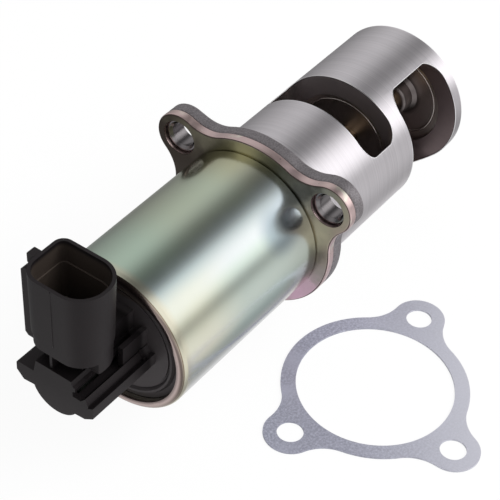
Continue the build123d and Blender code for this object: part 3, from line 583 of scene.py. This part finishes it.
normal = tree.nodes.new("ShaderNodeTexCoord").outputs["Normal"]
facing = add_node(tree, "ShaderNodeSeparateXYZ", links={0: normal})
outward_x = calc(tree, "MULTIPLY", facing.outputs[0], calc(tree, "SUBTRACT", x, socket_x))
outward_y = calc(tree, "MULTIPLY", facing.outputs[1], calc(tree, "SUBTRACT", y, socket_y))
outward = calc(tree, "ADD", outward_x, outward_y)
by_height = both(tree, smooth_step(tree, z, *floor_step), smooth_step(tree, z, *mouth_step))
in_socket = both(tree, smooth_step(tree, outward, *inward_step), by_height)
tint = blend_colour(tree, in_socket, tint, socket_inside_brown)
# Painted light: the upward faces of the ledge are painted lighter, where light from above falls.
lit_ledge = both(tree, smooth_step(tree, facing.outputs[2], *upward_step),
                near(tree, z, socket_ledge, ledge_reach))
tint = blend_colour(tree, lit_ledge, tint, lit_ledge_brown)
tree.links.new(tint, shader.inputs["Base Color"])
add_bump(tree, shader, mottle(tree, coordinates, erosion_waves), erosion_depth)
dress(cap_finish, "end_cap")

# %% [markdown]
# The plastics and seals inside are simpler: two close tones in slow patches over a fine
# eroded grain. They only show when the valve is taken apart.

# %% One function for plastics and seals


def moulded(name, dark, light, roughness):
    """Matt moulding: two close tones in slow patches, over a fine eroded grain."""
    material, tree, shader = start_finish(name, 0.0, roughness)
    coordinates = tree.nodes.new("ShaderNodeTexCoord").outputs["Object"]
    patches = mottle(tree, coordinates, patch_waves, 4.0)
    tree.links.new(blend_colour(tree, patches, dark, light), shader.inputs["Base Color"])
    add_bump(tree, shader, mottle(tree, coordinates, erosion_waves), erosion_depth)
    return material


print("patches about", round(1.0 / (patch_waves * MM), 1), "mm across")

# %% Inner plastics and seals
inner_plastics = (
    ("bobbin_moulding", (0.05, 0.05, 0.055), (0.07, 0.07, 0.075), 0.5, ("coil_bobbin",)),
    ("natural_acetal", (0.66, 0.63, 0.56), (0.74, 0.71, 0.64), 0.4,
     ("sensor_guide", "sensor_plunger")),
    ("seal_rubber", (0.010, 0.010, 0.010), (0.018, 0.018, 0.018), 0.65,
     ("stem_seal", "cap_seal")),
    ("printed_track", (0.03, 0.035, 0.03), (0.05, 0.055, 0.05), 0.45, ("sensor_track",)),
)
for name, dark, light, roughness, dressed in inner_plastics:
    dress(moulded(name, dark, light, roughness), *dressed)

# %% [markdown]
# ## Copper winding
# The coil is hundreds of turns of enamelled wire. Modelling each turn would cost far more
# faces than a hidden coil is worth, so the winding is one solid, and a wave along the axis
# tints and tilts its surface like turns laid side by side. The tint is dark in the gaps
# between turns, which is painted shade.

# %% Finish of the winding
wire_pitch = 0.5
gap_shade_copper, wire_copper = (0.20, 0.08, 0.03), (0.62, 0.30, 0.14)

copper_finish, tree, shader = start_finish("enamelled_copper", 1.0, 0.32)
coordinates, x, y, z, distance = place_parts(tree)
turns = calc(tree, "SINE", calc(tree, "MULTIPLY", x, 2 * pi / wire_pitch))
tone = blend_colour(tree, smooth_step(tree, turns, -1.0, 0.2), gap_shade_copper, wire_copper)
tree.links.new(tone, shader.inputs["Base Color"])
add_bump(tree, shader, turns, 0.0001, 0.6)
dress(copper_finish, "coil_winding")

# %% [markdown]
# ## Gasket
# The gasket is thin coated sheet steel. Rolling and coating leave a fine grey-blue speckle,
# which is noise at less than a millimetre. The coating is neither bare metal nor paint, so
# the shader is set half way between the two. One side of the sheet is painted brighter, a
# painted gradient of light.

# %% Finish of the gasket
veil_blue, painted_light_blue, painted_light_step = (0.52, 0.53, 0.64), (0.74, 0.74, 0.82), (14.0, 70.0)
speckle_dark, speckle_light = (0.34, 0.345, 0.43), (0.56, 0.57, 0.68)

gasket_finish, tree, shader = start_finish("coated_sheet", 0.55, 0.42)
coordinates, x, y, z, distance = place_parts(tree)
speckle = mottle(tree, coordinates, 1500.0, 4.0, roughness=0.7)
veil = mottle(tree, coordinates, 60.0)
speckled = smooth_step(tree, speckle, 0.35, 0.7)
tint = blend_colour(tree, speckled, speckle_dark, speckle_light)
tint = blend_colour(tree, smooth_step(tree, veil, 0.45, 0.8), tint, veil_blue)
across_sheet = calc(tree, "MULTIPLY_ADD", y, -0.8, calc(tree, "MULTIPLY", x, 0.6))
# Painted light: brighter towards one side of the sheet.
tint = blend_colour(tree, smooth_step(tree, across_sheet, *painted_light_step), tint, painted_light_blue)
tree.links.new(tint, shader.inputs["Base Color"])
add_bump(tree, shader, speckle, 0.00002)
dress(gasket_finish, "flange_gasket")

# %% [markdown]
# ## Helpers for surfaces
# The fine trim is made of grids: rows of points along the piece, and columns round it. The
# points are worked out as whole arrays. Each face joins four neighbours, and its corners
# are taken in an order that makes it face outwards.

# %% Helpers for a grid of points


def full_turn(count):
    """Angles all the way round, with the last one step short of the first."""
    return np.linspace(0.0, 2.0 * pi, count, endpoint=False)


def grid_faces(rows, columns, joined=False):
    """Quads between neighbouring rows and columns. The columns close on themselves, and
    joined closes the last row on the first as well."""
    row_count = rows if joined else rows - 1
    row, column = np.meshgrid(np.arange(row_count), np.arange(columns), indexing="ij")
    below, right = (row + 1) % rows, (column + 1) % columns
    quads = np.stack([row * columns + column, row * columns + right,
                      below * columns + right, below * columns + column], axis=-1)
    return quads.reshape(-1, 4).tolist()


print("quads between 3 rows of 4 points:", len(grid_faces(3, 4)))

# %% Helpers that make a mesh


def make_piece(name, points, faces, material, smooth=True):
    """A mesh object at the origin from arrays of points and faces."""
    mesh = bpy.data.meshes.new(name)
    mesh.from_pydata(points.tolist(), [], faces)
    mesh.polygons.foreach_set("use_smooth", [smooth] * len(mesh.polygons))
    mesh.materials.append(material)
    mesh.update()
    piece = bpy.data.objects.new(name, mesh)
    bpy.context.scene.collection.objects.link(piece)
    return piece


def add_trim(name, points, faces, material):
    """A piece of fixed trim that belongs to the valve's body."""
    piece = make_piece(name, points, faces, material)
    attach(piece, "valve_body")
    print(name, len(points), "points")


# %% [markdown]
# ## Parting line of the socket
# The two halves of the mould met in a plane across the socket, and a hair of plastic
# squeezed out between them. A dark line in the material would be flat and catch no light,
# so it is a low rounded ridge that runs down the tapered wall and fades out at the mouth.
# One parameter runs down the wall and the other across the ridge.

# %% Parting line on the socket
socket_taper, socket_band_top = radians(1.2), 15.6
ridge_half_width, ridge_height, ridge_root = 0.16, 0.11, 0.12
ridge_top, ridge_foot = socket_mouth - 0.1, socket_band_top + 0.1
ridge_rows, ridge_columns = 25, 13


def ridge_points(side):
    """Ridge down the wall on one side: height z(t) = top + t (foot - top); the wall's inset
    i(t) = (mouth - z) tan(taper), and its place x(t) = middle + side (half - i). The section
    is an ellipse, y = middle + a cos s, that stands out by h sin s. h grows with the inset
    from nothing at the mouth, and the lower half of the ellipse is closed under the skin."""
    down = np.linspace(0.0, 1.0, ridge_rows)[:, None]
    section = full_turn(ridge_columns)[None, :]
    z = ridge_top + down * (ridge_foot - ridge_top) + 0.0 * section
    inset = (socket_mouth - z) * tan(socket_taper)
    proud = np.minimum(ridge_height, inset)
    stand = np.where(np.sin(section) > 0.0, proud, ridge_root) * np.sin(section)
    x = socket_x + side * (socket_half - inset + stand)
    y = socket_y + ridge_half_width * np.cos(section) + 0.0 * down
    return np.stack([x, y, z], axis=-1).reshape(-1, 3) * MM


first_row = list(range(ridge_columns))
last_row = [(ridge_rows - 1) * ridge_columns + corner for corner in first_row]
ridge_faces = grid_faces(ridge_rows, ridge_columns) + [first_row[::-1], last_row]
mirrored_faces = [face[::-1] for face in ridge_faces]
add_trim("socket_parting_back", ridge_points(1), ridge_faces, cap_finish)
add_trim("socket_parting_front", ridge_points(-1), mirrored_faces, cap_finish)

# %% [markdown]
# ## Broken edges
# On the real valve no edge is quite sharp. The edges of the windows were broken with a
# file and the lips of the seats with a stone, and each such edge catches a thin line of
# light. A bevel would change the CAD solids, so each edge gets a hair-thin tube that lies
# on it: a small circle carried along the edge, half sunk in the metal.

# %% Tube along a closed edge
tube_columns = 8
edge_thickness = 0.17


def closed_tube(curve, outward):
    """Tube along a closed curve: P(s, a) = C(s) + r (cos a N(s) + sin a B(s)), where N is the
    outward direction made square to the curve, T the curve's own direction and B = T x N."""
    along = np.roll(curve, -1, axis=0) - np.roll(curve, 1, axis=0)
    along /= np.linalg.norm(along, axis=1, keepdims=True)
    outward = outward - (outward * along).sum(axis=1, keepdims=True) * along
    outward /= np.linalg.norm(outward, axis=1, keepdims=True)
    sideways = np.cross(along, outward)
    turn = full_turn(tube_columns)[None, :, None]
    spokes = np.cos(turn) * outward[:, None] + np.sin(turn) * sideways[:, None]
    return (curve[:, None] + edge_thickness * spokes).reshape(-1, 3) * MM


def add_edge(name, curve, material):
    """Trim tube on a closed edge round the X axis. It stands out away from the axis."""
    away_from_axis = curve * (0.0, 1.0, 1.0)
    faces = grid_faces(len(curve), tube_columns, joined=True)
    add_trim(name, closed_tube(curve, away_from_axis), faces, material)


# %% Lips of the seat rings
seat_outer_radius = end_of("inner_seat_ring", "y", 1)
inner_seat_front = end_of("inner_seat_ring", "x", 0)
inner_seat_wall, outer_seat_wall = 1.7, 2.3
lip_finish = heat_tinted("stoned_lip_steel", (0.78, 0.72, 0.68), (0.86, 0.80, 0.76), 0.25)
lip_behind_wall, lip_behind_face = 0.05, 0.02
round_turn = full_turn(120)
for name, front, wall in (("inner_seat_lip", inner_seat_front, inner_seat_wall),
                          ("outer_seat_lip", outer_seat_front, outer_seat_wall)):
    radius = seat_outer_radius - wall + lip_behind_wall
    circle = np.stack([np.full_like(round_turn, front + lip_behind_face),
                       radius * np.cos(round_turn), radius * np.sin(round_turn)], axis=-1)
    add_edge(name, circle, lip_finish)

# %% [markdown]
# A window is a rounded rectangle that was milled straight through the wall of the nose, so
# its edge is that outline laid on a cylinder: where the outline is off the middle by w, the
# edge stands sqrt(r^2 - w^2) from the axis. No box shows the windows, so their sizes are
# the CAD's own, written here once more.

# %% Outline of a milled window


def rounded_outline(half_length, half_width, corner, corner_steps=96, count=260):
    """Rounded rectangle. The corners are quarter circles about their own middles, which
    a full turn visits one after the other, and the points are then spread evenly."""
    turn = full_turn(corner_steps) + pi / corner_steps
    middle = np.stack([np.sign(np.cos(turn)) * (half_length - corner),
                       np.sign(np.sin(turn)) * (half_width - corner)], axis=-1)
    outline = middle + corner * np.stack([np.cos(turn), np.sin(turn)], axis=-1)
    outline = np.vstack([outline, outline[:1]])
    steps = np.linalg.norm(np.diff(outline, axis=0), axis=1)
    run = np.concatenate([[0.0], np.cumsum(steps)])
    even = np.linspace(0.0, run[-1], count, endpoint=False)
    return np.interp(even, run, outline[:, 0]), np.interp(even, run, outline[:, 1])


print("points round a window", len(rounded_outline(2.0, 1.0, 0.5)[0]))


# %% Broken edges of the two windows
edge_finish = heat_tinted("filed_edge_steel", (0.90, 0.88, 0.90), (0.97, 0.95, 0.97), 0.2)
edge_radius = nose_radius - 0.12
edge_inset = 0.09
first_window_start, first_window_length, first_window_width = 22.25, 14.5, 36.0
second_window_length, second_window_width = 22.8, 37.2
first_window_corner, second_window_corner = 4.0, 4.3


def window_edge(start, length, width, corner):
    """Edge of a window: x, the place across the window, and the height above the axis."""
    half_length = length / 2.0
    along, across = rounded_outline(half_length - edge_inset, width / 2.0 - edge_inset, corner)
    return start + half_length + along, across, np.sqrt(edge_radius ** 2 - across ** 2)


place, across, height = window_edge(first_window_start, first_window_length,
                                    first_window_width, first_window_corner)
first_edge = np.stack([place, across, height], axis=-1)
add_edge("first_window_edge", first_edge, edge_finish)

place, across, height = window_edge(second_window_start, second_window_length,
                                    second_window_width, second_window_corner)
second_edge = np.stack([place, -height, across], axis=-1)
add_edge("second_window_edge", second_edge, edge_finish)

# %% [markdown]
# ## Floor
# The photograph's background is pure white paper. More light would make the floor white,
# but would bleach the valve as well. So the floor glows in straight view of the camera,
# and the small rest of what the camera sees of it is reflected, which leaves the valve a
# faint soft shadow. The floor is kept out of the metal's reflections, because the soft
# boxes below already hold what the white table adds to them.

# %% Floor
floor_gap = 0.02
floor_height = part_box("flange_gasket")[0][2] - floor_gap * MM
floor_half, floor_glow, floor_white = 3.0, 0.93, (0.86, 0.86, 0.86, 1.0)
corner_sides = np.array([(-1, -1), (1, -1), (1, 1), (-1, 1)])
floor_corners = np.column_stack([floor_half * corner_sides, np.full(4, floor_height)])

floor_finish, tree, shader = start_finish("white_sheet", 0.0, 0.9)
shader.inputs["Base Color"].default_value = floor_white
shader.inputs["Specular IOR Level"].default_value = 0.0
glow = add_node(tree, "ShaderNodeEmission", {"Strength": 1.0})
path = tree.nodes.new("ShaderNodeLightPath")
straight = calc(tree, "MULTIPLY", path.outputs["Is Camera Ray"], floor_glow)
mixer = add_node(tree, "ShaderNodeMixShader",
                 links={0: straight, 1: shader.outputs[0], 2: glow.outputs[0]})
tree.links.new(mixer.outputs[0], tree.nodes["Material Output"].inputs["Surface"])
floor = make_piece("studio_floor", floor_corners, [[0, 1, 2, 3]], floor_finish, smooth=False)
floor.visible_glossy = False
print("floor at", round(floor_height / MM, 2), "mm")

# %% [markdown]
# ## Light
# Bright metal shows what stands round it. A product photographer lays long soft boxes
# beside the valve, parallel to its axis, and leaves dark gaps between them, which gives
# the can its bright and dark bands. Boxes could be modelled as glowing planes, but each
# edge would need its own softening. The world does it in one go: its strength depends on
# the direction's angle round the X axis, read from a ramp with soft steps. A second ramp
# holds the far ends of the boxes, which the nose sees and the can doesn't. A ramp's values
# stop at 1, so they are stored as a share of the brightest and scaled up again.

# %% Strengths of the soft boxes, in degrees round the X axis
near_strengths = (
    (-180, 0.42), (-168, 0.92), (-150, 0.92), (-133, 0.72), (-119, 0.38), (-103, 0.37),
    (-88, 0.70), (-70, 0.98), (-54, 0.50), (-37, 0.20), (-20, 0.25), (0, 0.36),
    (24, 0.48), (46, 0.60), (62, 0.52), (78, 0.17), (95, 0.10), (108, 0.22),
    (118, 0.98), (128, 1.08), (150, 1.08), (161, 0.98), (170, 0.44), (180, 0.42),
)
far_strengths = (
    (-180, 0.46), (-168, 0.54), (-150, 0.48), (-133, 0.42), (-119, 0.28), (-103, 0.42),
    (-88, 0.80), (-70, 0.98), (-54, 0.46), (-37, 0.18), (-20, 0.25), (0, 0.36),
    (24, 0.56), (46, 0.72), (62, 0.56), (78, 0.18), (95, 0.16), (107, 0.40),
    (119, 0.86), (131, 1.58), (153, 1.98), (166, 1.50), (174, 0.56), (180, 0.46),
)
brightest = 2.0
far_end_step = (0.58, 0.68)
print("world ramps", len(near_strengths), "and", len(far_strengths), "stops")

# %% World with long soft boxes
world = bpy.data.worlds.new("studio_world")
bpy.context.scene.world = world
world.use_nodes = True
tree = world.node_tree
directions = tree.nodes.new("ShaderNodeTexCoord").outputs["Generated"]
split = add_node(tree, "ShaderNodeSeparateXYZ", links={0: directions})
turn_angle = calc(tree, "ARCTAN2", split.outputs[2], split.outputs[1])
share = calc(tree, "MULTIPLY_ADD", turn_angle, 1.0 / (2.0 * pi), 0.5)


def box_ramp(strengths):
    """Ramp round the X axis whose greys are shares of the brightest strength."""
    greys = [(degrees, (strength / brightest,) * 3) for degrees, strength in strengths]
    return ramp_colour(tree, share, turned_stops(*greys), "B_SPLINE")


near_boxes, far_boxes = box_ramp(near_strengths), box_ramp(far_strengths)
towards_gas_end = smooth_step(tree, split.outputs[0], *far_end_step)
shares = blend_colour(tree, towards_gas_end, near_boxes, far_boxes)
boxes = add_node(tree, "ShaderNodeVectorMath", {".operation": "SCALE", "Scale": brightest},
                 {0: shares})
print("world nodes", len(tree.nodes))

# %% [markdown]
# What the camera sees straight past the valve is plain white, and matt surfaces get an
# even fill light, so that the boxes' bands show in the gloss alone.

# %% White backdrop and even fill
backdrop_white, fill_grey = (1.0, 1.0, 1.0), (0.62, 0.62, 0.62)
backdrop = tree.nodes["Background"]
path = tree.nodes.new("ShaderNodeLightPath")
seen = blend_colour(tree, path.outputs["Is Camera Ray"], boxes.outputs[0], backdrop_white)
lit = blend_colour(tree, path.outputs["Is Diffuse Ray"], seen, fill_grey)
tree.links.new(lit, backdrop.inputs["Color"])
backdrop.inputs["Strength"].default_value = 1.0
print("backdrop strength", backdrop.inputs["Strength"].default_value)

# %% [markdown]
# One large lamp stands where the main soft box is, so that the black cap has a light side
# and a dark side, and the floor gets its soft shadow. A small lamp would be simpler, but
# its shadow would be hard. It is hidden from the gloss, where the ramp already shows it.

# %% Main lamp
lamp_data = bpy.data.lights.new("soft_box", "AREA")
lamp_data.shape = "RECTANGLE"
lamp_data.size, lamp_data.size_y = 1.2, 0.8
lamp_data.energy = 22.0
lamp = bpy.data.objects.new("soft_box", lamp_data)
bpy.context.scene.collection.objects.link(lamp)
lamp_place = np.array((0.55, -0.9, 1.05))
lamp_back = lamp_place / np.linalg.norm(lamp_place)
lamp_right = np.cross((0.0, 0.0, 1.0), lamp_back)
lamp_right /= np.linalg.norm(lamp_right)
lamp_up = np.cross(lamp_back, lamp_right)
lamp.matrix_world = placed(lamp_right, lamp_up, lamp_back, lamp_place.tolist())
lamp.visible_glossy = False
print("lamp at", lamp_place.tolist())

# %% [markdown]
# ## Finish
# The view transform is Standard, so that a colour on the screen is the colour that was
# written.

# %% View transform and the end of the script
bpy.context.scene.view_settings.view_transform = "Standard"
